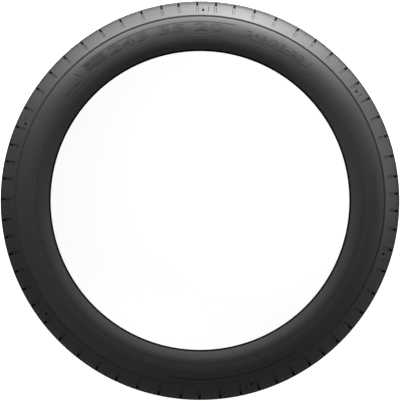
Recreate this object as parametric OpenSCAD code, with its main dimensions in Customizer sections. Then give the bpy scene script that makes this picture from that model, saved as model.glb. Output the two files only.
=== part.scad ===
// Car tyre, size 245/35 R20, lying on its side: the axle line is Z, the outboard side is up.
// A point of the section is [radius from the axle line, height above the mid-plane].

/* [Overall] */
// Diameter of the bead toes
bead_d = 508; // [506:0.2:510]
// Height of the section, from the toes to the middle of the tread
section_h = 85.75; // [80:0.25:92]
// Width of the section over the rim protectors
section_w = 248; // [240:0.5:256]

/* [Bead] */
// How far the face of each bead lies inside the width of the section
bead_in = 3.5; // [2:0.25:5]
// Width of each bead from its face to its toe
bead_w = 19; // [17:0.5:21]
// Length of the cylindrical land at the toe
land_w = 5; // [3:0.5:7]
// Slope of the bead base from the land to the heel, in degrees
bead_taper = 5; // [3:0.5:7]
// Radius of the heel
heel_r = 6.5; // [5:0.5:7]
// Height of the outer edge of the bead's flat face over the toe
face_h = 9.5; // [8.5:0.25:11]
// Bevel of the toe's inner edge
toe_lip = 1.2; // [0.8:0.1:1.6]
// Height of the toe's inner face
toe_h = 9; // [7:0.5:11]
// Slope of the toe's inner face, as its rise over that height
toe_rise = 0.8; // [0.2:0.1:1.4]

/* [Rim protector] */
// Height of the protector's outer edge over the toe
protector_h = 30.5; // [28:0.25:33]
// Width of the flat top of the protector
protector_land = 5; // [3:0.5:7]

/* [Sidewall] */
// Wall thickness at the protector
wall_t = 9; // [7:0.5:11]
// Fall of the sidewall from the protector to the step where the thicker shoulder begins
side_fall = 8.77; // [7:0.01:12]
// Depth of that step below the middle of the tread
step_drop = 25.75; // [23:0.25:29]
// Height of the step over the line of the sidewall
step_h = 0.9; // [0.5:0.1:1.2]
// Width of its face
step_w = 1.6; // [1:0.1:2]

/* [Tread] */
// How far the flat of the tread ends inside the width of the section
flat_in = 38.5; // [36:0.5:41]
// Radius of the tread's curve across its width
crown_r = 930; // [800:10:1400]
// Thickness of the tread and belts
crown_t = 15.5; // [13:0.5:18]
// How far the thick of the tread ends inside its flat
belt_in = 8; // [5:0.5:12]
// Radius of the shoulder
shoulder_r = 20; // [16:0.5:24]
// Bow of the shoulder's flank off a straight run to the step, in degrees
flank_bow = 7.4; // [4:0.2:11]
// Depth of the grooves that run round the tread
groove_d = 7.2; // [5:0.2:8]
// Distance of the two inner grooves from the mid-plane
inner_groove_z = 16; // [14:0.5:19]
// Width of the two inner grooves
inner_groove_w = 11; // [9:0.5:13]
// Distance of the two outer grooves from the mid-plane
outer_groove_z = 51; // [49:0.5:54]
// Width of the two outer grooves
outer_groove_w = 9.5; // [8:0.5:11]
// Lean of the groove walls, in degrees
groove_lean = 9; // [4:1:14]
// Radius at the foot of the groove walls
groove_foot_r = 1.6; // [1:0.1:2]

/* [Shoulder slots] */
// Width of the slots across the shoulders
slot_w = 3.5; // [2.5:0.1:4.5]
// Depth of a slot where it opens into the outer groove
slot_d = 5.6; // [4:0.2:6.4]
// Angle on the shoulder's round, off the radius, where the slot's floor turns down
slot_turn = 24; // [18:0.5:30]
// Depth of the slot on the side of the shoulder
slot_side_d = 1; // [0.6:0.1:1.4]
// Distance of the slot's end from the step
slot_gap = 5.15; // [3:0.05:8]

/* [Sipes] */
// Width of the sipes
sipe_w = 1; // [0.8:0.1:1.4]
// Depth of the sipes
sipe_d = 5; // [3:0.2:6]
// Length of the sipes in the shoulder blocks
edge_sipe_l = 20; // [14:0.5:23]
// Length of the sipes in the ribs beside the inner grooves
rib_sipe_l = 15.3; // [10:0.1:18]
// Turn of those sipes, in degrees
sipe_turn = 28; // [20:1:35]

/* [Wear bars] */
// Height of the bars on the groove floors
wear_h = 1.6; // [1.2:0.1:2]
// Length of a bar round the groove
wear_l = 12; // [8:1:16]

/* [Hidden] */
rubber = [0.13, 0.13, 0.135];
$fn = 180;
spare = 4; // how far the cutters reach past the surface
bar_root = 0.3; // how far the wear bars reach into the groove's walls and floor
liner_pull = 0.65; // how straight the liner leaves the wall, from 0 to 1

// Block lengths round the tread, in the five lengths that keep it quiet, from the first slot clockwise
pitch_lengths = [5.05, 5.47, 6.03, 6.52, 7.13];
pitch_code = str("BBCDECCCBBCCCCAABCDEDBBBABBBBC", "CBDDDDDEDCBBBAACCAABCDCCDDDDCAB");
// Angle of the first slot clockwise from +Y
first_slot = -0.8;
// Slots beside which a wear bar lies, and the step from such a slot to the middle of its bar in degrees
wear_slots = [0, 9, 18, 28, 39, 50];
wear_shift = 1.9;

bead_r = bead_d / 2;
tyre_r = bead_r + section_h;
half_w = section_w / 2;
face_z = half_w - bead_in;
toe_z = face_z - bead_w;
face_r = bead_r + face_h;
protector_r = bead_r + protector_h;
step_r = tyre_r - step_drop;
flat_z = half_w - flat_in;

slots = len(pitch_code);
raw = [for (i = [0:slots - 1]) pitch_lengths[ord(pitch_code[i]) - ord("A")]];
raw_sum = raw * [for (i = [0:slots - 1]) 1];
pitch = [for (p = raw) p * 360 / raw_sum];
starts = [for (i = 0, a = 0; i < slots; a = a + pitch[i], i = i + 1) a];

function crown(z) = tyre_r - crown_r + sqrt(crown_r * crown_r - z * z);
function polar(r, a) = r * [cos(a), sin(a)];
function angle(v) = atan2(v[1], v[0]);
function swing(u, v) = atan2(u[0] * v[1] - u[1] * v[0], u * v);
function unit(v) = v / norm(v);
function tail(pts) = [for (k = [1:len(pts) - 1]) pts[k]];
function arc(c, r, a0, a1, n) = [for (k = [0:n]) c + polar(r, a0 + (a1 - a0) * k / n)];
// Radius of the arc that starts level and reaches a point that far along and that far down
function level_r(run, fall) = (run * run + fall * fall) / (2 * fall);

// The sidewall's arc, which starts level at the protector
side_r = level_r(step_r - protector_r, side_fall);
side_c = [protector_r, half_w - side_r];
step_foot = [step_r, half_w - side_fall];
side_slope = (step_r - protector_r) / (side_r - side_fall);
step_top = step_foot + [step_w, step_h - side_slope * step_w];

// The round of the shoulder, and the bowed flank that runs on from it to the step
flat_a = asin(flat_z / crown_r);
round_c = [crown(flat_z), flat_z] - polar(shoulder_r, flat_a);
reach = step_top - round_c;
turn_a = angle(reach) - acos(shoulder_r / norm(reach)) - flank_bow;
turn = round_c + polar(shoulder_r, turn_a);
drop = step_top - turn;
flank_r = -drop * drop / (2 * drop * polar(1, turn_a));
flank_c = turn - polar(flank_r, turn_a);
flank_a = angle(step_top - flank_c);

// The corner b of a path a, b, c, rounded to radius r in n chords
function rounded(a, b, c, r, n) =
    let (u = unit(a - b), w = unit(c - b), half = acos(u * w) / 2)
    let (m = b + unit(u + w) * r / sin(half))
    let (from = b + u * r / tan(half) - m, to = b + w * r / tan(half) - m)
    arc(m, r, angle(from), angle(from) + swing(from, to), n);

// A path through corners [radius, height, rounding], in n chords a rounding
function round_path(pts, n) = [
    for (i = [0:len(pts) - 1])
        let (p = [pts[i][0], pts[i][1]])
        each pts[i][2] == 0 ? [p]
            : rounded([pts[i - 1][0], pts[i - 1][1]], p, [pts[i + 1][0], pts[i + 1][1]], pts[i][2], n)
];

function bezier(a, b, c, d, n) = [
    for (k = [0:n]) let (t = k / n, s = 1 - t) s * s * s * a + 3 * s * s * t * b + 3 * s * t * t * c + t * t * t * d
];

// Half of the tread, from the mid-plane to the start of the shoulder
function groove(z, w) =
    let (floor_r = crown(z) - groove_d, foot = w / 2 - groove_d * tan(groove_lean))
    round_path([
        [crown(z - w / 2), z - w / 2, 0],
        [floor_r, z - foot, groove_foot_r],
        [floor_r, z + foot, groove_foot_r],
        [crown(z + w / 2), z + w / 2, 0]
    ], 2);
function rib(z0, z1) = let (z = (z0 + z1) / 2) [[crown(z), z]];
function tread_half() = concat(
    [[crown(0), 0]],
    groove(inner_groove_z, inner_groove_w),
    rib(inner_groove_z, outer_groove_z),
    groove(outer_groove_z, outer_groove_w),
    rib(outer_groove_z, flat_z)
);

// The shoulder and its flank, let in by d, between two angles of their arcs
function shoulder(d, a0, a1) = concat(
    arc(round_c, shoulder_r - d, a0, turn_a, 4),
    tail(arc(flank_c, flank_r - d, turn_a, a1, 3))
);
function sidewall_half() = concat(
    shoulder(0, flat_a, flank_a),
    arc(side_c, side_r, angle(step_foot - side_c), 90, 5)
);

// The protector with its rounded inner flank, the bead and its toe
function bead_half() =
    let (
        top = [protector_r - protector_land, half_w],
        run = top[0] - face_r,
        inner_r = level_r(run, bead_in),
        land_z = toe_z + toe_lip + land_w
    )
    concat(
        arc(top - [0, inner_r], inner_r, 90, 90 + angle([inner_r - bead_in, run]), 4),
        tail(round_path([
            [face_r, face_z, 0],
            [bead_r + (face_z - land_z) * tan(bead_taper), face_z, heel_r],
            [bead_r, land_z, 0],
            [bead_r, toe_z + toe_lip, 0],
            [bead_r + toe_lip, toe_z, 0]
        ], 4))
    );

// The inner face, from the toe over the wall to the mid-plane
function liner_half() =
    let (
        toe = [bead_r + toe_h, toe_z + toe_rise],
        wall = [protector_r, half_w - wall_t],
        top = [crown(flat_z) - crown_t, flat_z - belt_in],
        half_run = [(wall[0] - toe[0]) / 2, 0],
        pull = liner_pull * (top - wall)
    )
    concat(
        bezier(toe, toe + half_run, wall - half_run, wall, 7),
        tail(bezier(wall, wall + [pull[0], 0], top - [0, pull[1]], top, 7)),
        [[crown(flat_z / 2) - crown_t, flat_z / 2], [crown(0) - crown_t, 0]]
    );

function half_section() = concat(tread_half(), sidewall_half(), bead_half(), liner_half());
function mirrored(pts) = [for (i = [len(pts) - 2:-1:1]) [pts[i][0], -pts[i][1]]];

// A slot across one shoulder: from the outer groove along the tread, over the round and down the flank
function slot_outline() =
    let (
        a1 = acos((step_top[0] + slot_gap - flank_c[0]) / (flank_r - slot_side_d)),
        floor_pts = shoulder(slot_side_d, slot_turn, a1),
        out = floor_pts[len(floor_pts) - 1] + polar(slot_side_d + spare, a1)
    )
    concat(
        [[crown(outer_groove_z) - slot_d, outer_groove_z]],
        floor_pts,
        [out, [tyre_r + spare, out[1]], [tyre_r + spare, outer_groove_z]]
    );

module at_slot(a) {
    rotate([0, 0, 90 - first_slot - a]) children();
}

module slot_cutter() {
    rotate([90, 0, 0]) translate([0, 0, -slot_w / 2]) linear_extrude(slot_w) polygon(slot_outline());
}

// A thin straight cut in a rib, l long and turned by a round the radius through its middle
module sipe(z, l, a) {
    translate([crown(z) - sipe_d, 0, z]) rotate([a, 0, 0])
        translate([0, -sipe_w / 2, -l / 2]) cube([sipe_d + spare, sipe_w, l]);
}

// The slots of both shoulders, half a block apart, a sipe in the middle of each shoulder block,
// and sipes in the ribs a quarter of a block after the slots
module tread_cuts() {
    rib_z = (inner_groove_z + inner_groove_w / 2 + outer_groove_z - outer_groove_w / 2) / 2;
    edge_z = (outer_groove_z + outer_groove_w / 2 + flat_z) / 2;
    for (i = [0:slots - 1]) {
        at_slot(starts[i]) slot_cutter();
        at_slot(starts[i] + pitch[i] / 2) mirror([0, 0, 1]) slot_cutter();
        at_slot(starts[i] + pitch[i] / 2) sipe(edge_z, edge_sipe_l, 0);
        at_slot(starts[i]) sipe(-edge_z, edge_sipe_l, 0);
        at_slot(starts[i] + pitch[i] / 4) sipe(rib_z, rib_sipe_l, sipe_turn);
        at_slot(starts[i] + pitch[i] * 3 / 4) sipe(-rib_z, rib_sipe_l, sipe_turn);
    }
}

module wear_bars() {
    for (z = [-outer_groove_z, -inner_groove_z, inner_groove_z, outer_groove_z], i = wear_slots) {
        w = abs(z) == inner_groove_z ? inner_groove_w : outer_groove_w;
        floor_r = crown(z) - groove_d;
        side = w / 2 - (groove_d - wear_h) * tan(groove_lean) + bar_root;
        turn = wear_l / floor_r * 180 / PI;
        at_slot(starts[i] + wear_shift + turn / 2) rotate_extrude(angle = turn)
            translate([floor_r - bar_root, z - side]) square([wear_h + bar_root, side * 2]);
    }
}

module tyre() {
    half = half_section();
    color(rubber) difference() {
        union() {
            rotate_extrude() polygon(concat(half, mirrored(half)));
            wear_bars();
        }
        tread_cuts();
    }
}

tyre();
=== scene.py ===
"""The looks of a car tyre that lies on its inboard sidewall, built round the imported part.

Lengths are metres. The axle line is Z, the outboard side is up, and +Y is the top of the photograph.
A point of the section is (radius from the axle line, height above the mid-plane).
"""

import logging
import math
from dataclasses import dataclass, field
from enum import Enum
from typing import Any, Optional, Union

import bmesh
import bpy
import numpy as np
from mathutils import Matrix, Vector
from mathutils.geometry import interpolate_bezier


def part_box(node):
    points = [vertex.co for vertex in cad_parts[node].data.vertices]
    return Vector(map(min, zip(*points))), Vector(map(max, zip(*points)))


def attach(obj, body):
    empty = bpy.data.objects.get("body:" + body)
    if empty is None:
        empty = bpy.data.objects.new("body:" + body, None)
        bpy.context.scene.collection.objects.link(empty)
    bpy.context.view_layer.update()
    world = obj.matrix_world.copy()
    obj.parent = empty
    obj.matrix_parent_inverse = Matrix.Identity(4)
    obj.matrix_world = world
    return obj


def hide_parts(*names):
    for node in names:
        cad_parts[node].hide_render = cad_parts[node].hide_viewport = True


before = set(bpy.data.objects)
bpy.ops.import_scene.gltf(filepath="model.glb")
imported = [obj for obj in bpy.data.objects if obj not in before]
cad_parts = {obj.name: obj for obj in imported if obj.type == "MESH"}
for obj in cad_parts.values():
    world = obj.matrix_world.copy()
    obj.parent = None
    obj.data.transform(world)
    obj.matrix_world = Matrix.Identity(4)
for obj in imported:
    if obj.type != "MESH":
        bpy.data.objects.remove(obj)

log = logging.getLogger("tyre")

NODE = "tyre"
BODY = "root"
# The face attribute that carries how much painted shade a cutting tool's face leaves.
PAINTED_SHADE = "shade"

Point = tuple[float, float]
Corner = tuple[float, float, float]


class Wire:
    """An output socket on which arithmetic adds Math nodes."""

    def __init__(self, graph: "Graph", socket: bpy.types.NodeSocket) -> None:
        """Keeps the socket with the graph that it belongs to."""
        self.graph = graph
        self.socket = socket

    def _math(self, operation: str, first: Any, second: Any = None) -> "Wire":
        """Adds one Math node.

        Args:
            operation: the node's operation.
            first: its first value or wire.
            second: its second value or wire, where it has one.

        Returns:
            The node's output.
        """
        inputs = {0: first} if second is None else {0: first, 1: second}
        return self.graph.node("ShaderNodeMath", {"operation": operation}, inputs).out("Value")

    def __add__(self, other: Any) -> "Wire":
        """The sum."""
        return self._math("ADD", self, other)

    def __radd__(self, other: Any) -> "Wire":
        """The sum, with a number in front."""
        return self._math("ADD", other, self)

    def __sub__(self, other: Any) -> "Wire":
        """The difference."""
        return self._math("SUBTRACT", self, other)

    def __rsub__(self, other: Any) -> "Wire":
        """The difference from a number."""
        return self._math("SUBTRACT", other, self)

    def __mul__(self, other: Any) -> "Wire":
        """The product."""
        return self._math("MULTIPLY", self, other)

    def __rmul__(self, other: Any) -> "Wire":
        """The product, with a number in front."""
        return self._math("MULTIPLY", other, self)

    def root(self) -> "Wire":
        """The square root."""
        return self._math("SQRT", self)

    def above(self, limit: Any) -> "Wire":
        """1 where the value is over the limit, otherwise 0."""
        return self._math("GREATER_THAN", self, limit)

    def below(self, limit: Any) -> "Wire":
        """1 where the value is under the limit, otherwise 0."""
        return self._math("LESS_THAN", self, limit)

    def within(self, low: float, high: float) -> "Wire":
        """1 where the value lies between two limits, otherwise 0."""
        return self.above(low) * self.below(high)

    def either(self, other: "Wire") -> "Wire":
        """The larger of two values."""
        return self._math("MAXIMUM", self, other)

    def at_most(self, limit: Any) -> "Wire":
        """The value, or the limit where it is over it."""
        return self._math("MINIMUM", self, limit)

    def parts(self) -> tuple["Wire", "Wire", "Wire"]:
        """The three parts of a vector."""
        split = self.graph.node("ShaderNodeSeparateXYZ", {}, {0: self})
        return split.out("X"), split.out("Y"), split.out("Z")


class Placed:
    """A node that was added, with its outputs by name."""

    def __init__(self, graph: "Graph", node: bpy.types.Node) -> None:
        """Keeps the node with the graph that it belongs to."""
        self.graph = graph
        self.node = node

    def out(self, name: Union[str, int] = 0) -> Wire:
        """The output of that name or place."""
        return Wire(self.graph, self.node.outputs[name])


class Graph:
    """A node tree with one way to add a node."""

    def __init__(self, tree: bpy.types.NodeTree) -> None:
        """Empties the tree and keeps it."""
        self.tree = tree
        tree.nodes.clear()

    def node(self, kind: str, settings: dict[str, Any], inputs: dict[Union[str, int], Any]) -> Placed:
        """Adds a node.

        Args:
            kind: the node's type.
            settings: its settings, which are set first. The stops of a ramp are (place, colour) pairs.
            inputs: values or wires by the name, identifier or place of their socket.

        Returns:
            The node.
        """
        node = self.tree.nodes.new(kind)
        for name, value in settings.items():
            if name == "stops":
                self._set_stops(node.color_ramp, value)
            else:
                setattr(node, name, value)
        for key, value in inputs.items():
            self._feed(self._socket(node, key), value)
        return Placed(self, node)

    @staticmethod
    def _set_stops(ramp: bpy.types.ColorRamp, stops: list[tuple[float, tuple[float, ...]]]) -> None:
        """Sets the stops of a colour ramp."""
        while len(ramp.elements) < len(stops):
            ramp.elements.new(0.5)
        for element, (place, colour) in zip(ramp.elements, stops):
            element.position = place
            element.color = colour

    @staticmethod
    def _socket(node: bpy.types.Node, key: Union[str, int]) -> bpy.types.NodeSocket:
        """The input of a node by place, identifier or name."""
        if isinstance(key, int):
            return node.inputs[key]
        for socket in node.inputs:
            if socket.identifier == key:
                return socket
        return node.inputs[key]

    def _feed(self, socket: bpy.types.NodeSocket, value: Any) -> None:
        """Links a wire, or several, to a socket, or sets its value."""
        if isinstance(value, Wire):
            self.tree.links.new(value.socket, socket)
        elif isinstance(value, list):
            for wire in value:
                self._feed(socket, wire)
        else:
            socket.default_value = value


Places = list[tuple[str, bpy.types.Material, Wire]]


class ShapeTree(Graph):
    """A Geometry Nodes tree with named inputs, and the modifier that runs it."""

    INPUT_TYPES = {int: "NodeSocketInt", float: "NodeSocketFloat", bool: "NodeSocketBool"}

    def __init__(self, name: str) -> None:
        """Makes an empty tree with a geometry input and output."""
        super().__init__(bpy.data.node_groups.new(name, "GeometryNodeTree"))
        self.values: dict[str, Any] = {}
        face = self.tree.interface
        face.new_socket("Geometry", in_out="INPUT", socket_type="NodeSocketGeometry")
        face.new_socket("Geometry", in_out="OUTPUT", socket_type="NodeSocketGeometry")
        self._start = self.node("NodeGroupInput", {}, {})

    @property
    def geometry(self) -> Wire:
        """The geometry that comes in."""
        return self._start.out("Geometry")

    def named(self, name: str, value: Any) -> Wire:
        """Adds a named input.

        Args:
            name: its name.
            value: its value: a number, an object or a material.

        Returns:
            The input as a wire.
        """
        kind = self.INPUT_TYPES.get(type(value))
        if isinstance(value, bpy.types.Object):
            kind = "NodeSocketObject"
        elif isinstance(value, bpy.types.Material):
            kind = "NodeSocketMaterial"
        socket = self.tree.interface.new_socket(name, in_out="INPUT", socket_type=kind)
        self.values[socket.identifier] = value
        return self._start.out(name)

    def end(self, geometry: Wire, material: bpy.types.Material, places: Optional[Places] = None) -> None:
        """Ends the tree in Realize Instances and Set Material.

        Args:
            geometry: what the tree has made.
            material: the material that it gets.
            places: materials that go over it in chosen places.
        """
        made = self.node("GeometryNodeRealizeInstances", {}, {"Geometry": geometry}).out()
        for name, finish, chosen in [("Finish", material, True), *(places or [])]:
            made = self.node(
                "GeometryNodeSetMaterial",
                {},
                {"Geometry": made, "Selection": chosen, "Material": self.named(name, finish)},
            ).out()
        self.node("NodeGroupOutput", {}, {"Geometry": made})

    def grow(self, host: bpy.types.Object, name: str) -> bpy.types.Object:
        """Runs the tree on a host object and keeps the result as a plain mesh.

        Args:
            host: the object that the tree starts from, which is removed.
            name: the name of the piece.

        Returns:
            The piece.
        """
        modifier = host.modifiers.new("shape", "NODES")
        modifier.node_group = self.tree
        for identifier, value in self.values.items():
            modifier[identifier] = value
        graph = bpy.context.evaluated_depsgraph_get()
        mesh = bpy.data.meshes.new_from_object(host.evaluated_get(graph), depsgraph=graph)
        mesh.name = name
        host.modifiers.remove(modifier)
        bpy.data.objects.remove(host)
        return linked(name, mesh)


def linked(name: str, data: Any) -> bpy.types.Object:
    """Puts a mesh or curve into the scene as an object."""
    made = bpy.data.objects.new(name, data)
    bpy.context.scene.collection.objects.link(made)
    return made


def plan_curve(name: str, lines: list[list[Point]], closed: bool) -> bpy.types.Object:
    """Makes a curve object of straight-sided lines in the plane z = 0.

    Args:
        name: the object's name.
        lines: one list of points for each line.
        closed: whether the lines are closed.

    Returns:
        The curve object.
    """
    data = bpy.data.curves.new(name, "CURVE")
    data.dimensions = "3D"
    for line in lines:
        spline = data.splines.new("POLY")
        spline.points.add(len(line) - 1)
        spline.points.foreach_set("co", [c for x, y in line for c in (x, y, 0.0, 1.0)])
        spline.use_cyclic_u = closed
    return linked(name, data)


def arc(centre: Point, radius: float, start: float, stop: float, steps: int) -> list[Point]:
    """Points on an arc.

    Args:
        centre: the arc's centre.
        radius: its radius.
        start: the angle at which it starts, in radians.
        stop: the angle at which it stops.
        steps: the number of chords.

    Returns:
        The points, both ends included.
    """
    angles = np.linspace(start, stop, steps + 1)
    return [(centre[0] + radius * math.cos(a), centre[1] + radius * math.sin(a)) for a in angles]


def on_arc(centre: Point, radius: float, angle: float) -> Point:
    """The point at an angle on an arc."""
    return centre[0] + radius * math.cos(angle), centre[1] + radius * math.sin(angle)


def bezier(a: Point, b: Point, c: Point, d: Point, steps: int) -> list[Point]:
    """Points on a cubic curve with the control points a, b, c and d, both ends included."""
    share = np.linspace(0, 1, steps + 1)[:, None]
    rest = 1 - share
    control = [np.array(p) for p in (a, b, c, d)]
    line = (
        rest**3 * control[0]
        + 3 * rest**2 * share * control[1]
        + 3 * rest * share**2 * control[2]
        + share**3 * control[3]
    )
    return [(float(x), float(y)) for x, y in line]


def level_r(run: float, fall: float) -> float:
    """The radius of the arc that starts level and reaches a point that far along and that far down."""
    return (run * run + fall * fall) / (2 * fall)


def rounded(a: Point, b: Point, c: Point, radius: float, steps: int) -> list[Point]:
    """Rounds the corner b of a path a, b, c.

    Args:
        a: the point before the corner.
        b: the corner.
        c: the point after it.
        radius: the radius of the rounding.
        steps: the number of chords.

    Returns:
        The points of the rounding.
    """
    before, corner, after = (np.array(p) for p in (a, b, c))
    u = (before - corner) / np.linalg.norm(before - corner)
    w = (after - corner) / np.linalg.norm(after - corner)
    half = math.acos(float(u @ w)) / 2
    middle = corner + (u + w) / np.linalg.norm(u + w) * radius / math.sin(half)
    first = corner + u * radius / math.tan(half) - middle
    last = corner + w * radius / math.tan(half) - middle
    start = math.atan2(first[1], first[0])
    turn = math.atan2(first[0] * last[1] - first[1] * last[0], float(first @ last))
    return arc((float(middle[0]), float(middle[1])), radius, start, start + turn, steps)


@dataclass
class Section:
    """The section of the tyre, from which every other place is worked out."""

    tyre_r: float
    half_w: float
    bead_r: float = 0.254
    bead_in: float = 0.0035
    bead_w: float = 0.019
    land_w: float = 0.005
    bead_taper: float = math.radians(5)
    heel_r: float = 0.0065
    face_h: float = 0.0095
    toe_lip: float = 0.0012
    toe_h: float = 0.009
    toe_rise: float = 0.0008
    protector_h: float = 0.0305
    protector_land: float = 0.005
    wall_t: float = 0.009
    side_fall: float = 0.00877
    step_drop: float = 0.0251
    step_h: float = 0.0009
    step_w: float = 0.0016
    step_in: float = 0.0016
    flat_in: float = 0.0385
    crown_r: float = 0.93
    crown_t: float = 0.0155
    belt_in: float = 0.008
    liner_pull: float = 0.65
    shoulder_r: float = 0.02
    flank_bow: float = math.radians(7.4)
    groove_d: float = 0.0072
    inner_groove_z: float = 0.016
    inner_groove_w: float = 0.011
    outer_groove_z: float = 0.051
    outer_groove_w: float = 0.0095
    groove_lean: float = math.radians(9)
    groove_foot_r: float = 0.0016
    groove_edge: float = 0.0006
    rings: tuple[tuple[float, float, float], ...] = (
        (0.2863, 0.0009, 0.0004),
        (0.2813, 0.0009, 0.0004),
        (0.2779, 0.0010, 0.00015),
        (0.2692, 0.0010, 0.00015),
        (0.2661, 0.0010, 0.00015),
    )

    def __post_init__(self) -> None:
        """Works out the main places and the arcs of the sidewall, the shoulder and its flank."""
        self.face_z = self.half_w - self.bead_in
        self.face_r = self.bead_r + self.face_h
        self.protector_r = self.bead_r + self.protector_h
        top_r = self.protector_r - self.protector_land
        run = top_r - self.face_r
        self.inner_r = level_r(run, self.bead_in)
        self.inner_c = (top_r, self.half_w - self.inner_r)
        self.heel_fall = run / (self.inner_r - self.bead_in)
        self.step_r = self.tyre_r - self.step_drop
        self.flat_z = self.half_w - self.flat_in
        self.side_r = level_r(self.step_r - self.protector_r, self.side_fall)
        self.side_c = (self.protector_r, self.half_w - self.side_r)
        slope = math.asin(self.flat_z / self.crown_r)
        self.round_a = slope
        self.round_c = (
            self.crown(self.flat_z) - self.shoulder_r * math.cos(slope),
            self.flat_z - self.shoulder_r * math.sin(slope),
        )
        top = np.array(self.step_top())
        reach = top - np.array(self.round_c)
        bare = math.atan2(reach[1], reach[0]) - math.acos(self.shoulder_r / float(np.linalg.norm(reach)))
        self.turn_a = bare - self.flank_bow
        out = np.array((math.cos(self.turn_a), math.sin(self.turn_a)))
        turn = np.array(self.round_c) + self.shoulder_r * out
        drop = top - turn
        self.flank_r = float(-(drop @ drop) / (2 * drop @ out))
        centre = turn - self.flank_r * out
        self.flank_c = (float(centre[0]), float(centre[1]))
        self.flank_a = math.atan2(top[1] - centre[1], top[0] - centre[0])

    def crown(self, height: float) -> float:
        """The radius of the tread at a height."""
        return self.tyre_r - self.crown_r + math.sqrt(self.crown_r**2 - height**2)

    def step_top(self) -> Point:
        """The upper edge of the step where the thicker shoulder begins."""
        slope = (self.step_r - self.protector_r) / (self.side_r - self.side_fall)
        return self.step_r + self.step_w, self.half_w - self.side_fall + self.step_h - slope * self.step_w

    def groove(self, height: float, width: float) -> list[Point]:
        """The outline of one groove that runs round the tread.

        Args:
            height: the height of its middle.
            width: its width at the tread.

        Returns:
            Its points, in order of height.
        """
        floor = self.crown(height) - self.groove_d
        foot = width / 2 - self.groove_d * math.tan(self.groove_lean)
        edge = self.groove_edge
        low, high = height - width / 2, height + width / 2
        feet = (floor, height - foot), (floor, height + foot)
        edges = (self.crown(low), low), (self.crown(high), high)
        return [
            (self.crown(low - edge), low - edge),
            (edges[0][0] - edge, low),
            *rounded(edges[0], feet[0], feet[1], self.groove_foot_r, 3),
            *rounded(feet[0], feet[1], edges[1], self.groove_foot_r, 3),
            (edges[1][0] - edge, high),
            (self.crown(high + edge), high + edge),
        ]

    def ribs(self, start: float, stop: float, steps: int) -> list[Point]:
        """Points of the tread between two heights, without the ends."""
        heights = np.linspace(start, stop, steps + 2)[1:-1]
        return [(self.crown(float(h)), float(h)) for h in heights]

    def shoulder(self, depth: float, start: float, stop: float, fine: int = 1) -> list[Point]:
        """The round of the shoulder and the arc of its flank, let in by a depth.

        Args:
            depth: how far the line lies under the surface.
            start: the angle at which the round starts.
            stop: the angle at which the flank stops.
            fine: how many times finer than the plainest form.

        Returns:
            The points.
        """
        return [
            *arc(self.round_c, self.shoulder_r - depth, start, self.turn_a, 4 * fine),
            *arc(self.flank_c, self.flank_r - depth, self.turn_a, stop, 6 * fine)[1:],
        ]

    def sidewall(self) -> list[Point]:
        """The arc of the sidewall from the step to the protector."""
        start = math.acos((self.step_r - self.step_in - self.side_c[0]) / self.side_r)
        return arc(self.side_c, self.side_r, start, math.pi / 2, 15)

    def scored(self, line: list[Point]) -> list[Point]:
        """Lets the thin rings of the mould into a stretch of the outline.

        Args:
            line: the stretch, along which the radius falls.

        Returns:
            The stretch with a small V for each ring that lies on it.
        """
        radii, heights = zip(*reversed(line))
        for radius, width, depth in self.rings:
            edges = (radius - width / 2, radius + width / 2)
            if radii[0] < edges[0] and edges[1] < radii[-1]:
                low, middle, high = (float(np.interp(at, radii, heights)) for at in (edges[0], radius, edges[1]))
                line = [p for p in line if not edges[0] <= p[0] <= edges[1]]
                line += [(edges[0], low), (radius, middle - depth), (edges[1], high)]
        return sorted(line, reverse=True)

    def inner_flank(self) -> list[Point]:
        """The protector's flat top and its rounded inner flank."""
        turn = math.atan(self.heel_fall)
        return arc(self.inner_c, self.inner_r, math.pi / 2, math.pi / 2 + turn, 10)

    def bead(self) -> list[Point]:
        """The bead, from the end of the inner flank over the heel to the toe."""
        toe_z = self.face_z - self.bead_w
        land_z = toe_z + self.toe_lip + self.land_w
        lean = math.tan(self.bead_taper)
        height = self.face_z - self.heel_fall * (self.face_r - self.bead_r + land_z * lean)
        height /= 1 - self.heel_fall * lean
        heel = (self.bead_r + (height - land_z) * lean, height)
        return [
            *rounded((self.face_r, self.face_z), heel, (self.bead_r, land_z), self.heel_r, 7),
            (self.bead_r, land_z),
            (self.bead_r, toe_z + self.toe_lip),
            (self.bead_r + self.toe_lip, toe_z),
        ]

    def liner(self) -> list[Point]:
        """The inner face, from the toe over the wall to the mid-plane."""
        toe = (self.bead_r + self.toe_h, self.face_z - self.bead_w + self.toe_rise)
        wall = (self.protector_r, self.half_w - self.wall_t)
        top = (self.crown(self.flat_z) - self.crown_t, self.flat_z - self.belt_in)
        reach = (wall[0] - toe[0]) / 2
        pull = self.liner_pull
        low = bezier(toe, (toe[0] + reach, toe[1]), (wall[0] - reach, wall[1]), wall, 7)
        far = (wall[0] + (top[0] - wall[0]) * pull, wall[1])
        near = (top[0], top[1] + (wall[1] - top[1]) * pull)
        high = bezier(wall, far, near, top, 9)[1:]
        middle = [(self.crown(self.flat_z / 2) - self.crown_t, self.flat_z / 2), (self.crown(0) - self.crown_t, 0.0)]
        return low + high + middle

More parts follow.
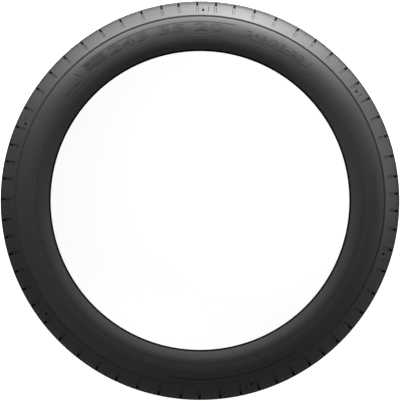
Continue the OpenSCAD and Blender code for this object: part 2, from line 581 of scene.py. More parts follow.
    def half(self, fine: int, scored: bool) -> list[Point]:
        """One half of the section, from the middle of the tread to the middle of the liner.

        Args:
            fine: how many times finer than the plainest form its shoulder is.
            scored: whether it has the thin rings of the mould.

        Returns:
            Its points, as on the upper side.
        """
        groove_in = (self.inner_groove_z, self.inner_groove_w)
        groove_out = (self.outer_groove_z, self.outer_groove_w)
        edges = [
            groove_in[0] + groove_in[1] / 2,
            groove_out[0] - groove_out[1] / 2,
            groove_out[0] + groove_out[1] / 2,
        ]
        side = self.sidewall() + self.inner_flank()
        return [
            (self.crown(0), 0.0),
            *self.groove(*groove_in),
            *self.ribs(edges[0], edges[1], 3),
            *self.groove(*groove_out),
            *self.ribs(edges[2], self.flat_z, 4),
            *self.shoulder(0, self.round_a, self.flank_a, fine),
            (self.step_r - self.step_in + 0.0001, self.step_top()[1]),
            *(self.scored(side) if scored else side),
            *self.bead(),
            *self.liner(),
        ]

    def outline(self) -> list[Point]:
        """The whole closed section, with the outboard side finer than the inboard one."""
        return self.half(3, True) + [(r, -z) for r, z in self.half(1, False)[-2:0:-1]]

    def slot_outline(self, depth: float, turn: float, side: float, spare: float) -> list[Point]:
        """The shape from the side of a slot's deep part, from the outer groove to the round of the shoulder.

        Args:
            depth: its depth where it opens into the outer groove.
            turn: the angle on the round where its floor comes out.
            side: how deep it is there.
            spare: how far the shape reaches past the surface.

        Returns:
            The closed outline.
        """
        floor = on_arc(self.round_c, self.shoulder_r - side, turn)
        out = on_arc(self.round_c, self.shoulder_r + spare, turn)
        return [
            (self.crown(self.outer_groove_z) - depth, self.outer_groove_z),
            floor,
            out,
            (self.tyre_r + spare, out[1]),
            (self.tyre_r + spare, self.outer_groove_z),
        ]

    def slot_lines(self, turn: float, side: float, gap: float, rise: float) -> tuple[list[Point], list[Point]]:
        """The floor of a slot's shallow part down the shoulder, and a line above the surface over it.

        Args:
            turn: the angle on the round where the floor starts.
            side: its depth.
            gap: the distance of its end from the step.
            rise: the height of the upper line over the surface.

        Returns:
            Both lines, with as many points.
        """
        stop = math.acos((self.step_r + self.step_w + gap - self.flank_c[0]) / self.flank_r)
        return self.shoulder(side, turn, stop, 2), self.shoulder(-rise, turn, stop, 2)


@dataclass
class PitchOrder:
    """The lengths of the tread blocks, in the order in which they come round the tyre."""

    code: str = "BBCDECCCBBCCCCAABCDEDBBBABBBBCCBDDDDDEDCBBBAACCAABCDCCDDDDCAB"
    lengths: tuple[float, ...] = (5.05, 5.47, 6.03, 6.52, 7.13)
    first: float = -0.8
    wear_slots: tuple[int, ...] = (0, 9, 18, 28, 39, 50)

    def blocks(self) -> list[tuple[float, float]]:
        """The start and the length of each block, in degrees clockwise from the top."""
        raw = [self.lengths[ord(letter) - ord("A")] for letter in self.code]
        pitch = [length * 360 / sum(raw) for length in raw]
        return list(zip(np.cumsum([self.first] + pitch[:-1]), pitch))


def clock(angle: float) -> float:
    """Turns degrees clockwise from +Y into radians from +X towards +Y."""
    return math.radians(90 - angle)


def on_plan(radius: float, angle: float) -> Point:
    """The point at a radius and an angle clockwise from the top, seen from above."""
    turn = clock(angle)
    return radius * math.cos(turn), radius * math.sin(turn)


def arc_on_plan(radius: float, start: float, stop: float, step: float = 1.0) -> list[Point]:
    """An arc round the axle line, from one clockwise angle to another."""
    count = max(2, math.ceil(abs(stop - start) / step))
    return [on_plan(radius, float(a)) for a in np.linspace(start, stop, count + 1)]


@dataclass(frozen=True)
class RubberFinish:
    """Moulded tyre rubber: near black, satin, with the fine turning marks of its mould. Made darker, it also gives the
    painted shade of slot walls, grooves and gaps.
    """

    name: str
    colour: tuple[float, float, float] = (0.022, 0.022, 0.023)
    roughness: float = 0.58
    specular: float = 0.32
    unevenness: float = 0.12
    grain: float = 0.35
    turning: float = 0.5

    def material(self) -> bpy.types.Material:
        """Builds the material.

        Returns:
            The material, with its patterns on object coordinates.
        """
        made = bpy.data.materials.new(self.name)
        made.use_nodes = True
        made.diffuse_color = (*self.colour, 1.0)
        graph = Graph(made.node_tree)
        place = graph.node("ShaderNodeTexCoord", {}, {}).out("Object")
        x, y, z = place.parts()
        radius = (x * x + y * y).root()
        around = graph.node("ShaderNodeCombineXYZ", {}, {"X": radius, "Y": z}).out()

        def noise(vector: Wire, scale: float, detail: float, rough: float = 0.5) -> Wire:
            """A noise texture's value at a vector."""
            inputs = {"Vector": vector, "Scale": scale, "Detail": detail, "Roughness": rough}
            return graph.node("ShaderNodeTexNoise", {"noise_dimensions": "3D"}, inputs).out(0)

        patches = noise(place, 9.0, 3.0)
        fine = noise(place, 140.0, 4.0, 0.6)
        turned = noise(around, 620.0, 2.0)
        grain = noise(place, 1500.0, 2.0)
        even = (patches - 0.5) * self.unevenness + (turned - 0.5) * self.unevenness
        tone = 1.0 + even * 1.5 + (fine - 0.5) * self.unevenness
        shade = graph.node(
            "ShaderNodeVectorMath", {"operation": "SCALE"}, {0: self.colour, "Scale": tone}
        ).out("Vector")
        rough = self.roughness + even + (fine - 0.5) * self.unevenness
        relief = grain * self.grain + turned * self.turning + fine * 0.25
        bump = graph.node("ShaderNodeBump", {}, {"Strength": 0.22, "Distance": 0.0004, "Height": relief})
        shader = graph.node(
            "ShaderNodeBsdfPrincipled",
            {},
            {
                "Base Color": shade,
                "Roughness": rough,
                "Specular IOR Level": self.specular,
                "Normal": bump.out("Normal"),
            },
        )
        graph.node("ShaderNodeOutputMaterial", {}, {"Surface": shader.out("BSDF")})
        return made


class Side(Enum):
    """The two halves of the tread."""

    OUTBOARD = 1
    INBOARD = -1


@dataclass
class TyreBody:
    """The one moulded body of the tyre, with its grooves, slots and sipes."""

    section: Section
    order: PitchOrder
    finish: bpy.types.Material
    bead_finish: bpy.types.Material
    tread_finish: bpy.types.Material
    # Painted shade: the darker colour that the leaning walls of the slots take.
    wall_painted_shade: bpy.types.Material
    # Painted shade: the near-black colour that narrow gaps, grooves and the bead base take.
    gap_painted_shade: bpy.types.Material
    engraving: list[bpy.types.Object]
    segments: int = 288
    slot_w: float = 0.0036
    slot_d: float = 0.0056
    slot_turn: float = math.radians(30)
    slot_side_d: float = 0.001
    slot_gap: float = 0.00515
    slot_lean: float = 0.75
    # Painted shade: inside this radius the bead base takes the near-black gap colour.
    base_r: float = 0.2572
    sipe_w: float = 0.001
    sipe_d: float = 0.005
    edge_sipe_l: float = 0.02
    rib_sipe_l: float = 0.0153
    sipe_turn: float = math.radians(28)
    spare: float = 0.004
    sharp: float = math.radians(24)

    def slot_tool(self, side: Side) -> bpy.types.Object:
        """The solid that cuts the deep part of one slot."""
        outline = self.section.slot_outline(self.slot_d, self.slot_turn, self.slot_side_d, self.spare)
        return prism(f"slot_tool_{side.name.lower()}", [(r, z * side.value) for r, z in outline], self.slot_w)

    def side_slot_tool(self, side: Side) -> bpy.types.Object:
        """The solid that cuts the shallow part of one slot, with walls that lean outwards."""
        rise = self.slot_side_d / 2
        lines = self.section.slot_lines(self.slot_turn, self.slot_side_d, self.slot_gap, rise)
        low = self.slot_w / 2 - self.slot_side_d * self.slot_lean / 2
        high = low + (self.slot_side_d + rise) * self.slot_lean
        corners = []
        for (r, z), (top_r, top_z) in zip(*lines):
            corners.append([(r, -low, z), (r, low, z), (top_r, high, top_z), (top_r, -high, top_z)])
        count = len(corners)
        faces: list[Any] = [[0, 1, 2, 3], [4 * count - k for k in (1, 2, 3, 4)]]
        for i in range(0, 4 * (count - 1), 4):
            faces += [[i + k, i + (k + 1) % 4, i + (k + 1) % 4 + 4, i + k + 4] for k in range(4)]
        # Painted shade: the leaning walls take the darker wall colour, and the floor under the round of the shoulder
        # the near-black gap colour, standing in for the shade inside the slot.
        marks = [Shade.WALL] * len(faces)
        for i in range(2, 4 * count - 2, 4):
            marks[i] = Shade.DEEP if i < 32 else Shade.PLAIN
        points = [(x, y, z * side.value) for ring in corners for x, y, z in ring]
        return solid(f"side_slot_tool_{side.name.lower()}", points, faces, marks)

    def sipe_tool(self, name: str, height: float, length: float, turn: float) -> bpy.types.Object:
        """The solid that cuts one sipe.

        Args:
            name: the tool's name.
            height: the height of its middle.
            length: its length.
            turn: its turn round the radius through its middle.

        Returns:
            The tool.
        """
        floor = self.section.crown(height) - self.sipe_d
        high = floor + self.sipe_d + self.spare
        half = length / 2
        tool = prism(name, [(floor, -half), (high, -half), (high, half), (floor, half)], self.sipe_w)
        tool.data.transform(Matrix.Translation((0, 0, height)) @ Matrix.Rotation(turn, 4, "X"))
        return tool

    def tools(self) -> list[tuple[bpy.types.Object, float]]:
        """The cutting solids, each with its place in the block as a share of the block's length."""
        s = self.section
        mid_z = (s.inner_groove_z + s.inner_groove_w / 2 + s.outer_groove_z - s.outer_groove_w / 2) / 2
        edge_z = (s.outer_groove_z + s.outer_groove_w / 2 + s.flat_z) / 2
        return [
            (self.slot_tool(Side.OUTBOARD), 0.0),
            (self.slot_tool(Side.INBOARD), 0.5),
            (self.side_slot_tool(Side.OUTBOARD), 0.0),
            (self.side_slot_tool(Side.INBOARD), 0.5),
            (self.sipe_tool("edge_sipe_tool", edge_z, self.edge_sipe_l, 0.0), 0.5),
            (self.sipe_tool("low_edge_sipe_tool", -edge_z, self.edge_sipe_l, 0.0), 0.0),
            (self.sipe_tool("rib_sipe_tool", mid_z, self.rib_sipe_l, self.sipe_turn), 0.25),
            (self.sipe_tool("low_rib_sipe_tool", -mid_z, self.rib_sipe_l, self.sipe_turn), 0.75),
        ]

    def marks(self, tools: int, shares: list[float]) -> bpy.types.Object:
        """A cloud of points, one for each cut, with the turn and the number of its tool.

        Args:
            tools: the number of tools.
            shares: each tool's place in the block, as a share of its length.

        Returns:
            The points as an object.
        """
        cuts = [(start + length * shares[t], t) for t in range(tools) for start, length in self.order.blocks()]
        mesh = bpy.data.meshes.new("cut_marks")
        mesh.from_pydata([(0.0, 0.0, 0.0)] * len(cuts), [], [])
        turn = mesh.attributes.new("turn", "FLOAT", "POINT")
        turn.data.foreach_set("value", [clock(angle) for angle, _ in cuts])
        tool = mesh.attributes.new("tool", "INT", "POINT")
        tool.data.foreach_set("value", [number for _, number in cuts])
        return linked("cut_marks", mesh)

    def build(self) -> bpy.types.Object:
        """Turns the section round the axle line and cuts the slots and sipes.

        Returns:
            The piece.
        """
        path_r = self.section.bead_r
        outline = [(r - path_r, -z) for r, z in reversed(self.section.outline())]
        host = plan_curve("tyre_section", [outline], closed=True)
        tools = self.tools()
        marks = self.marks(len(tools), [share for _, share in tools])
        tree = ShapeTree("tyre_shape")
        circle = tree.node(
            "GeometryNodeCurvePrimitiveCircle",
            {"mode": "RADIUS"},
            {"Resolution": tree.named("Segments", self.segments), "Radius": tree.named("Path Radius", path_r)},
        )
        turned = tree.node(
            "GeometryNodeCurveToMesh", {}, {"Curve": circle.out("Curve"), "Profile Curve": tree.geometry}
        ).out("Mesh")
        cloud = tree.node(
            "GeometryNodeObjectInfo", {}, {"Object": tree.named("Cut Marks", marks)}
        ).out("Geometry")
        turn = tree.node("GeometryNodeInputNamedAttribute", {"data_type": "FLOAT"}, {"Name": "turn"}).out(0)
        number = tree.node("GeometryNodeInputNamedAttribute", {"data_type": "INT"}, {"Name": "tool"}).out(0)
        euler = tree.node("ShaderNodeCombineXYZ", {}, {"Z": turn}).out()
        rotation = tree.node("FunctionNodeEulerToRotation", {}, {0: euler}).out()
        cuts = []
        for place, (tool, _) in enumerate(tools):
            shape = tree.node("GeometryNodeObjectInfo", {}, {"Object": tree.named(tool.name, tool)})
            chosen = tree.node(
                "FunctionNodeCompare", {"data_type": "INT", "operation": "EQUAL"}, {"A_INT": number, "B_INT": place}
            )
            copies = tree.node(
                "GeometryNodeInstanceOnPoints",
                {},
                {
                    "Points": cloud,
                    "Selection": chosen.out("Result"),
                    "Instance": shape.out("Geometry"),
                    "Rotation": rotation,
                },
            )
            cuts.append(tree.node("GeometryNodeRealizeInstances", {}, {"Geometry": copies.out()}).out())
        for tool in self.engraving:
            lines = tree.node("GeometryNodeObjectInfo", {}, {"Object": tree.named(tool.name, tool)})
            cuts.append(lines.out("Geometry"))
        cut = tree.node(
            "GeometryNodeMeshBoolean",
            {"operation": "DIFFERENCE", "solver": "MANIFOLD"},
            {"Mesh 1": turned, "Mesh 2": cuts},
        ).out("Mesh")
        tree.end(smooth_by_angle(tree, cut, self.sharp), self.finish, self.places(tree))
        piece = tree.grow(host, "tyre_body")
        for extra in [marks, *self.engraving, *(tool for tool, _ in tools)]:
            bpy.data.objects.remove(extra)
        return piece

    def places(self, tree: ShapeTree) -> Places:
        """Where the bead finish, the dull finish of the tread and the painted shade of slot walls, narrow gaps,
        grooves and the bead base go.

        Args:
            tree: the tree that makes the body.

        Returns:
            The four materials, each with its selection.
        """
        s = self.section
        x, y, z = tree.node("GeometryNodeInputPosition", {}, {}).out().parts()
        far, level = (x * x + y * y).root(), (z * z).root()
        crown = (s.crown_r**2 - z * z).root() + (s.tyre_r - s.crown_r)
        under = crown - far
        on_tread = level.below(s.flat_z + 0.002) * under.below(0.0003)
        # Painted shade: the walls and floors of the grooves, faces marked deep and the bead base inside base_r take
        # the near-black gap colour, and faces marked wall the darker wall colour, standing in for the shade in those
        # recesses.
        in_groove = level.below(s.flat_z) * under.within(0.0004, s.groove_d + 0.002)
        shade = tree.node("GeometryNodeInputNamedAttribute", {"data_type": "INT"}, {"Name": PAINTED_SHADE}).out(0)
        deep = shade.above(Shade.DEEP.value - 0.5).either(in_groove).either(far.below(self.base_r))
        return [
            ("Bead Finish", self.bead_finish, far.below(s.rings[1][0])),
            ("Tread Finish", self.tread_finish, on_tread),
            ("Wall Finish", self.wall_painted_shade, shade.within(Shade.WALL.value - 0.5, Shade.WALL.value + 0.5)),
            ("Gap Finish", self.gap_painted_shade, deep),
        ]


def smooth_by_angle(tree: ShapeTree, geometry: Wire, limit: float) -> Wire:
    """Shades a mesh smooth, apart from edges that turn by more than a limit.

    Args:
        tree: the tree that makes the mesh.
        geometry: the mesh.
        limit: the largest angle that is shaded smooth, in radians.

    Returns:
        The mesh with its edges marked.
    """
    soft = tree.node(
        "GeometryNodeSetShadeSmooth", {"domain": "FACE"}, {"Geometry": geometry, "Shade Smooth": True}
    ).out()
    angle = tree.node("GeometryNodeInputMeshEdgeAngle", {}, {}).out("Unsigned Angle")
    hard = angle.above(tree.named("Sharp Angle", limit))
    return tree.node(
        "GeometryNodeSetShadeSmooth",
        {"domain": "EDGE"},
        {"Geometry": soft, "Selection": hard, "Shade Smooth": False},
    ).out()


class Shade(Enum):
    """How much painted shade a cutting tool's face leaves on the wall it cuts: none, the darker wall colour or the
    near-black gap colour.
    """

    PLAIN = 0
    WALL = 1
    DEEP = 2


def mark_painted_shade(mesh: bpy.types.Mesh, marks: list[Shade]) -> None:
    """Marks the faces of a cutting tool with the painted shade that they leave."""
    mesh.attributes.new(PAINTED_SHADE, "INT", "FACE").data.foreach_set("value", [mark.value for mark in marks])


def solid(name: str, points: list[Corner], faces: list[Any], marks: list[Shade]) -> bpy.types.Object:
    """Makes a cutting tool.

    Args:
        name: the object's name.
        points: its corners.
        faces: its faces, in either direction.
        marks: the painted shade that each of them leaves.

    Returns:
        The tool, with its faces outwards.
    """
    mesh = bpy.data.meshes.new(name)
    mesh.from_pydata(points, [], faces)
    shape = bmesh.new()
    shape.from_mesh(mesh)
    bmesh.ops.recalc_face_normals(shape, faces=shape.faces)
    shape.to_mesh(mesh)
    shape.free()
    mark_painted_shade(mesh, marks)
    return linked(name, mesh)


def prism(name: str, outline: list[Point], width: float) -> bpy.types.Object:
    """A straight cutting tool on the X axis, with the outline (x, z), a width along Y and walls that leave the
    near-black painted shade.
    """
    count = len(outline)
    points = [(x, y, z) for y in (-width / 2, width / 2) for x, z in outline]
    faces = [tuple(range(count)), tuple(range(count, 2 * count))]
    faces += [(i, i + count, (i + 1) % count + count, (i + 1) % count) for i in range(count)]
    return solid(name, points, faces, [Shade.DEEP] * len(faces))


@dataclass
class SurfaceArc:
    """A stretch of the outboard surface that is one arc of the section turned round the axle line."""

    centre: Point
    radius: float

    def height(self, at: float) -> float:
        """The height of the surface at a distance from the axle line."""
        return self.centre[1] + math.sqrt(self.radius**2 - (at - self.centre[0]) ** 2)


@dataclass
class Relief:
    """Raised or engraved lines that follow the outboard surface, drawn as seen from above."""

    name: str
    surface: SurfaceArc
    finish: bpy.types.Material
    lines: list[list[Point]] = field(default_factory=list)
    foot_w: float = 0.0012
    top_w: float = 0.0006
    rise: float = 0.0004
    sink: float = 0.0004
    step: float = 0.004
    closed: bool = False
    highest: float = 1.0

    def build(self) -> bpy.types.Object:
        """Gives each line a ridge's section and lays it on the surface.

        Returns:
            The piece.
        """
        tree = ShapeTree(self.name + "_shape")
        even = tree.node(
            "GeometryNodeResampleCurve",
            {"mode": "LENGTH"},
            {"Curve": tree.geometry, "Length": tree.named("Step", self.step)},
        ).out("Curve")
        upright = tree.node("GeometryNodeSetCurveNormal", {"mode": "Z_UP"}, {"Curve": even}).out("Curve")
        height = tree.named("Height", self.rise + self.sink)
        ridge = tree.node(
            "GeometryNodeCurvePrimitiveQuadrilateral",
            {"mode": "TRAPEZOID"},
            {
                "Height": height,
                "Bottom Width": tree.named("Top Width", self.top_w),
                "Top Width": tree.named("Foot Width", self.foot_w),
                "Offset": 0.0,
            },
        ).out("Curve")
        bar = tree.node(
            "GeometryNodeCurveToMesh", {}, {"Curve": upright, "Profile Curve": ridge, "Fill Caps": True}
        ).out("Mesh")
        x, y, z = tree.node("GeometryNodeInputPosition", {}, {}).out().parts()
        reach = (x * x + y * y).root() - tree.named("Arc Centre Radius", self.surface.centre[0])
        size = tree.named("Arc Radius", self.surface.radius)
        lift = (size * size - reach * reach).root() + tree.named("Arc Centre Height", self.surface.centre[1])
        level = lift + z + tree.named("Middle", (self.rise - self.sink) / 2)
        raised = level.at_most(tree.named("Highest", self.highest))
        place = tree.node("ShaderNodeCombineXYZ", {}, {"X": x, "Y": y, "Z": raised}).out()
        laid = tree.node("GeometryNodeSetPosition", {}, {"Geometry": bar, "Position": place}).out()
        tree.end(laid, self.finish)
        return tree.grow(plan_curve(self.name + "_lines", self.lines, self.closed), self.name)


@dataclass
class Sidewall:
    """The plain raised work on the outboard sidewall and shoulder."""

    section: Section
    order: PitchOrder
    finish: bpy.types.Material

    def side(self) -> SurfaceArc:
        """The sidewall between the protector and the step."""
        return SurfaceArc(self.section.side_c, self.section.side_r)

    def flank(self) -> SurfaceArc:
        """The flank of the shoulder."""
        return SurfaceArc(self.section.flank_c, self.section.flank_r)

    def engraving(self) -> list[bpy.types.Object]:
        """The tools that cut what is engraved on the sidewall and the shoulder.

        Returns:
            The tools, with their faces marked to leave the near-black painted shade on the walls they cut.
        """
        starts = [self.order.blocks()[number][0] for number in self.order.wear_slots]
        cuts = [
            ("field_lines", self.side(), self.field_lines(), 0.0009, False),
            ("underline", self.side(), self.underlines(), 0.0006, False),
            ("patch_lines", self.side(), self.patch_lines(), 0.0004, False),
            ("field_digits", self.side(), Digits("245 35 20", 0.2890, 0.0132, -31.5, 7.6).outlines(), 0.0006, True),
            ("size_digits", self.side(), Digits("245/35-20", 0.2920, 0.0088, 15.5, 36.5).outlines(), 0.0005, True),
            ("wear_wedges", self.flank(), [radial(0.3227, 0.3265, a + 1.75) for a in starts], 0.0038, False),
            ("wear_lines", self.flank(), [radial(0.3227, 0.3304, a + 3.35) for a in starts], 0.0009, False),
        ]
        tools = []
        for name, surface, lines, width, closed in cuts:
            tool = Relief(name, surface, self.finish, lines, width * 0.75, width * 1.3, 0.0006, 0.0005, 0.0012, closed)
            tools.append(tool.build())
            # Painted shade: the engraved walls take the near-black gap colour, standing in for the shade in the cuts.
            mark_painted_shade(tools[-1].data, [Shade.DEEP] * len(tools[-1].data.polygons))
        return tools

    def field_lines(self) -> list[list[Point]]:
        """The thin lines along the outer edge of the bare fields, with the tick at their end."""
        return [
            [*arc_on_plan(0.3045, -41.6, 11.3), on_plan(0.3035, 11.7)],
            arc_on_plan(0.3045, 147, 190),
            [on_plan(0.2905, -43.6), on_plan(0.3045, -45.0)],
        ]

    def underlines(self) -> list[list[Point]]:
        """The finer lines that drift outwards under the bare fields."""
        return [
            [on_plan(0.2895, 13.8), *sweep((0.2872, 14.2), (0.2894, 38.2)), on_plan(0.303, 39.4)],
            sweep((0.2894, -52), (0.2872, -44.4)),
        ]

    def patch_lines(self) -> list[list[Point]]:
        """A patch of fine crossed lines at the start of the large field."""
        across = [[on_plan(0.2882, a + 0.5), on_plan(0.3032, a - 0.5)] for a in np.arange(-40.8, -33.2, 0.42)]
        return across + [arc_on_plan(r, -41.0, -33.4) for r in (0.2905, 0.2945, 0.2985, 0.3020)]

    def raised(self, name: str, surface: SurfaceArc, lines: list[list[Point]], width: float, rise: float,
               closed: bool = False) -> bpy.types.Object:
        """Raises lines on a surface, under the height of the rim protector.

        Args:
            name: the name of the piece.
            surface: what the lines follow.
            lines: the lines as seen from above.
            width: their width at the foot.
            rise: their height.
            closed: whether they are closed.

        Returns:
            The piece.
        """
        relief = Relief(name, surface, self.finish, lines, width, width * 0.55, rise, closed=closed)
        relief.step = 0.0012
        relief.highest = self.section.half_w - 0.00003
        return relief.build()

    def side_ticks(self) -> bpy.types.Object:
        """Short rows of plain ticks low on the sidewall."""
        lines = ticks(0.2975, 0.3003, 80, 92) + ticks(0.2975, 0.3003, 258, 270)
        return self.raised("side_ticks", self.side(), lines, 0.0011, 0.0004)

    def bead_ticks(self) -> bpy.types.Object:
        """Rows of small plain ticks beside the bead."""
        lines = ticks(0.2642, 0.2660, 26, 42) + ticks(0.2642, 0.2660, 184, 195) + ticks(0.2642, 0.2660, 326, 352)
        inner = SurfaceArc(self.section.inner_c, self.section.inner_r)
        return self.raised("bead_ticks", inner, lines, 0.001, 0.0004)

    def build(self) -> list[bpy.types.Object]:
        """Builds every raised piece of the outboard side."""
        return [
            self.side_ticks(),
            self.bead_ticks(),
        ]


def sweep(start: Point, stop: Point) -> list[Point]:
    """A line on the plan from one radius and angle to another, in even steps of both."""
    return [on_plan(float(r), float(a)) for r, a in np.linspace(start, stop, 25)]


def radial(inner: float, outer: float, angle: float) -> list[Point]:
    """A straight line along the radius."""
    return [on_plan(inner, angle), on_plan(outer, angle)]


def ticks(inner: float, outer: float, start: float, stop: float) -> list[list[Point]]:
    """A row of short lines along the radius, with every fourth one left out.

    Args:
        inner: the radius where they start.
        outer: the radius where they stop.
        start: the angle of the first, clockwise from the top.
        stop: the angle that the row stays under.

    Returns:
        The lines.
    """
    angles = np.arange(start, stop, 0.55)
    return [[on_plan(inner, float(a)), on_plan(outer, float(a))] for i, a in enumerate(angles) if i % 4 != 3]


@dataclass
class Digits:
    """A line of plain digits, bent round the axle line."""

    text: str
    radius: float
    height: float
    start: float
    stop: float

    def outlines(self) -> list[list[Point]]:
        """The closed outlines of the digits, as seen from above."""
        words = bpy.data.curves.new("digits", "FONT")
        words.body = self.text
        flat = linked("digits", words)
        loops = [self._sampled(spline) for spline in flat.to_curve(bpy.context.evaluated_depsgraph_get()).splines]
        flat.to_curve_clear()
        bpy.data.objects.remove(flat)
        places = np.concatenate(loops)
        low, high = places.min(axis=0), places.max(axis=0)
        bent = []
        for loop in loops:
            share = (loop - low) / (high - low)
            turns = self.start + (self.stop - self.start) * share[:, 0]
            radii = self.radius + self.height * share[:, 1]
            bent.append([on_plan(float(r), float(a)) for r, a in zip(radii, turns)])
        return bent

    @staticmethod
    def _sampled(spline: bpy.types.Spline) -> np.ndarray:
        """Points along a closed outline of the font."""
        knots = list(spline.bezier_points)
        points = []
        for knot, after in zip(knots, knots[1:] + knots[:1]):
            points += interpolate_bezier(knot.co, knot.handle_right, after.handle_left, after.co, 6)[:-1]
        return np.array([(p.x, p.y) for p in points])


@dataclass
class WearBars:
    """The low bars on the floors of the grooves that show when the tread is worn."""

    section: Section
    order: PitchOrder
    finish: bpy.types.Material
    height: float = 0.0016
    length: float = 0.012
    shift: float = 1.9

    def build(self) -> bpy.types.Object:
        """Sets a bar on each groove floor beside each chosen slot.

        Returns:
            The piece.
        """
        s = self.section
        blocks = self.order.blocks()
        points, sizes, turns = [], [], []
        lean = math.tan(s.groove_lean)
        for side in Side:
            for height, width in ((s.inner_groove_z, s.inner_groove_w), (s.outer_groove_z, s.outer_groove_w)):
                floor = s.crown(height) - s.groove_d
                for number in self.order.wear_slots:
                    turn = clock(blocks[number][0] + self.shift)
                    points.append((floor * math.cos(turn), floor * math.sin(turn), height * side.value))
                    across = width - 2 * (s.groove_d - self.height) * lean + 0.0006
                    sizes.append((2 * self.height, self.length, across))
                    turns.append(turn)
        mesh = bpy.data.meshes.new("wear_bar_marks")
        mesh.from_pydata(points, [], [])
        size = mesh.attributes.new("size", "FLOAT_VECTOR", "POINT")
        size.data.foreach_set("vector", [c for row in sizes for c in row])
        turn_of = mesh.attributes.new("turn", "FLOAT", "POINT")
        turn_of.data.foreach_set("value", turns)
        tree = ShapeTree("wear_bar_shape")
        cube = tree.node("GeometryNodeMeshCube", {}, {"Size": (1.0, 1.0, 1.0)}).out("Mesh")
        turn = tree.node("GeometryNodeInputNamedAttribute", {"data_type": "FLOAT"}, {"Name": "turn"}).out(0)
        scale = tree.node("GeometryNodeInputNamedAttribute", {"data_type": "FLOAT_VECTOR"}, {"Name": "size"}).out(0)
        euler = tree.node("ShaderNodeCombineXYZ", {}, {"Z": turn}).out()
        rotation = tree.node("FunctionNodeEulerToRotation", {}, {0: euler}).out()
        bars = tree.node(
            "GeometryNodeInstanceOnPoints",
            {},
            {"Points": tree.geometry, "Instance": cube, "Rotation": rotation, "Scale": scale},
        )
        tree.end(bars.out(), self.finish)
        return tree.grow(linked("wear_bar_marks", mesh), "wear_bars")


@dataclass
class SoftLight:
    """One soft lamp of the studio, aimed at the tyre."""

    name: str
    clock_angle: float
    elevation: float
    distance: float
    size: Point
    power: float

    def build(self) -> bpy.types.Object:
        """Places the lamp."""
        turn, rise = clock(self.clock_angle), math.radians(self.elevation)
        away = Vector((math.cos(turn) * math.cos(rise), math.sin(turn) * math.cos(rise), math.sin(rise)))
        data = bpy.data.lights.new(self.name, "AREA")
        data.shape = "RECTANGLE"
        data.size, data.size_y = self.size
        data.energy = self.power
        lamp = linked(self.name, data)
        lamp.location = away * self.distance
        lamp.rotation_mode = "QUATERNION"
        lamp.rotation_quaternion = (-away).to_track_quat("-Z", "Y")
        lamp.visible_camera = False
        return lamp


@dataclass
class Studio:
    """The floor, the lights and the camera."""

    section: Section
    lamps: list[SoftLight]
    sky: float = 0.24
    floor_r: float = 40.0
    wall_h: float = 6.0
    floor_glow: float = 0.9
    distance: float = 30.0
    frame_px: float = 401.0
    tyre_px: float = 199.55

    def ring(self, height: float) -> list[tuple[float, float, float]]:
        """Points round the edge of the floor at a height."""
        turns = np.linspace(0, 2 * math.pi, 49)[:-1]
        return [(self.floor_r * math.cos(turn), self.floor_r * math.sin(turn), height) for turn in turns]

    def floor(self) -> None:
        """A plain pale floor under the tyre, and a wall of the same shade far round it for level views."""
        pale = self.pale()
        edge = self.ring(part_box(NODE)[0].z)
        around = list(range(len(edge)))
        self.staged("floor", edge, [tuple(around)], pale)
        wall = [(i, j, j + len(edge), i + len(edge)) for i, j in zip(around, around[1:] + around[:1])]
        self.staged("backdrop", self.ring(-self.wall_h) + self.ring(self.wall_h), wall, pale)

    def staged(self, name: str, points: list, faces: list, pale: bpy.types.Material) -> None:
        """Makes a piece of the studio that the tyre neither reflects nor is lit by.

        Args:
            name: its name.
            points: its points.
            faces: its faces, as numbers of points.
            pale: its material.
        """
        mesh = bpy.data.meshes.new(name)
        mesh.from_pydata(points, [], faces)
        mesh.materials.append(pale)
        piece = linked(name, mesh)
        piece.visible_diffuse = False
        piece.visible_glossy = False
        piece.visible_shadow = name == "floor"

    def pale(self) -> bpy.types.Material:
        """The plain pale material of the floor and the wall."""
        pale = bpy.data.materials.new("pale_floor")
        pale.use_nodes = True
        graph = Graph(pale.node_tree)
        shader = graph.node(
            "ShaderNodeBsdfPrincipled",
            {},
            {
                "Base Color": (0.8, 0.8, 0.8, 1.0),
                "Roughness": 0.9,
                "Specular IOR Level": 0.0,
                "Emission Color": (1.0, 1.0, 1.0, 1.0),
                "Emission Strength": self.floor_glow,
            },
        )
        graph.node("ShaderNodeOutputMaterial", {}, {"Surface": shader.out("BSDF")})
        return pale

    def world(self) -> None:
        """The even light of the room."""
        world = bpy.data.worlds.new("studio")
        world.use_nodes = True
        graph = Graph(world.node_tree)
        glow = graph.node("ShaderNodeBackground", {}, {"Color": (1.0, 1.0, 1.0, 1.0), "Strength": self.sky})
        graph.node("ShaderNodeOutputWorld", {}, {"Surface": glow.out()})
        bpy.context.scene.world = world

    def camera(self) -> None:
        """The camera far off on the axle line, with the tyre filling the frame as in the photograph."""
        data = bpy.data.cameras.new("camera")
        data.type = "ORTHO"
        data.ortho_scale = self.section.tyre_r * self.frame_px / self.tyre_px
        data.clip_end = 2 * self.distance
        camera = linked("camera", data)
        camera.location = (0.0, 0.0, self.distance)
        bpy.context.scene.camera = camera

    def build(self) -> None:
        """Sets up the whole studio."""
        self.floor()
        self.world()
        self.camera()
        for lamp in self.lamps:
            lamp.build()
        bpy.context.scene.view_settings.view_transform = "Standard"


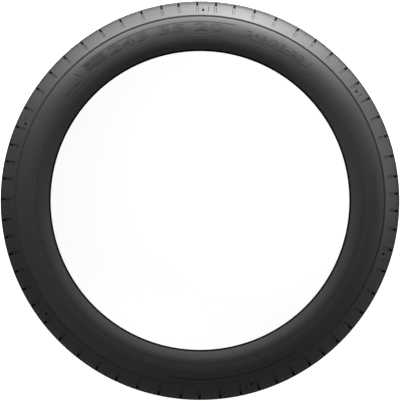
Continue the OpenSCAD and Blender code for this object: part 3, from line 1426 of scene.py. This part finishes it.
def report(piece: bpy.types.Object) -> None:
    """Logs a piece with its number of triangles."""
    piece.data.calc_loop_triangles()
    log.info("%s: %d triangles", piece.name, len(piece.data.loop_triangles))


def corners(box: tuple[Vector, Vector]) -> list[list[float]]:
    """A box as plain lists of numbers."""
    return [[round(float(c), 6) for c in corner] for corner in box]


def main() -> None:
    """Builds the tyre and its studio."""
    logging.basicConfig(level=logging.INFO, format="%(message)s")
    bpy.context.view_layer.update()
    low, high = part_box(NODE)
    section = Section(tyre_r=min(high.x - low.x, high.y - low.y) / 2, half_w=high.z)
    order = PitchOrder()
    side_rubber = RubberFinish("side_rubber", (0.0262, 0.0262, 0.0272)).material()
    bead_rubber = RubberFinish("bead_rubber", (0.0198, 0.0198, 0.0206)).material()
    tread_rubber = RubberFinish("tread_rubber", (0.0207, 0.0207, 0.0216), 0.75, 0.15).material()
    # Painted shade: a darker colour for the leaning walls of the slots, standing in for the shade inside them.
    wall_rubber = RubberFinish("wall_rubber", (0.009, 0.009, 0.009), 0.85, 0.08).material()
    # Painted shade: a near-black colour for cut walls, groove walls and floors, the bead base and the wear bars,
    # standing in for the shade in those recesses.
    gap_rubber = RubberFinish("gap_rubber", (0.004, 0.004, 0.004), 0.95, 0.03, 0.05).material()
    raised_rubber = RubberFinish("raised_rubber", roughness=0.5, grain=0.15, turning=0.1).material()
    sidewall = Sidewall(section, order, raised_rubber)
    # The real rubbers of side, bead and tread, then the painted shades of slot walls and gaps.
    finishes_and_painted_shades = side_rubber, bead_rubber, tread_rubber, wall_rubber, gap_rubber
    body = TyreBody(section, order, *finishes_and_painted_shades, sidewall.engraving()).build()
    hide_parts(NODE)
    # Painted shade: the wear bars take the near-black gap colour of the groove floors they stand on.
    pieces = [body, *sidewall.build(), WearBars(section, order, gap_rubber).build()]
    for piece in pieces:
        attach(piece, BODY)
        report(piece)
    lamps = [
        SoftLight("key_low", 8.0, 0.0, 1.5, (0.6, 0.4), 45.0),
        SoftLight("key_high", 16.0, 20.0, 0.8, (0.4, 0.25), 7.8),
        SoftLight("key_left", 335.0, 16.0, 1.1, (0.5, 0.3), 17.5),
        SoftLight("key_right", 30.0, 2.0, 1.0, (0.5, 0.3), 6.5),
        SoftLight("fill_right", 80.0, 10.0, 1.5, (1.0, 0.6), 11.0),
        SoftLight("fill_left", 235.0, 40.0, 3.0, (2.0, 2.0), 16.0),
    ]
    Studio(section, lamps).build()


if __name__ == "__main__":
    main()
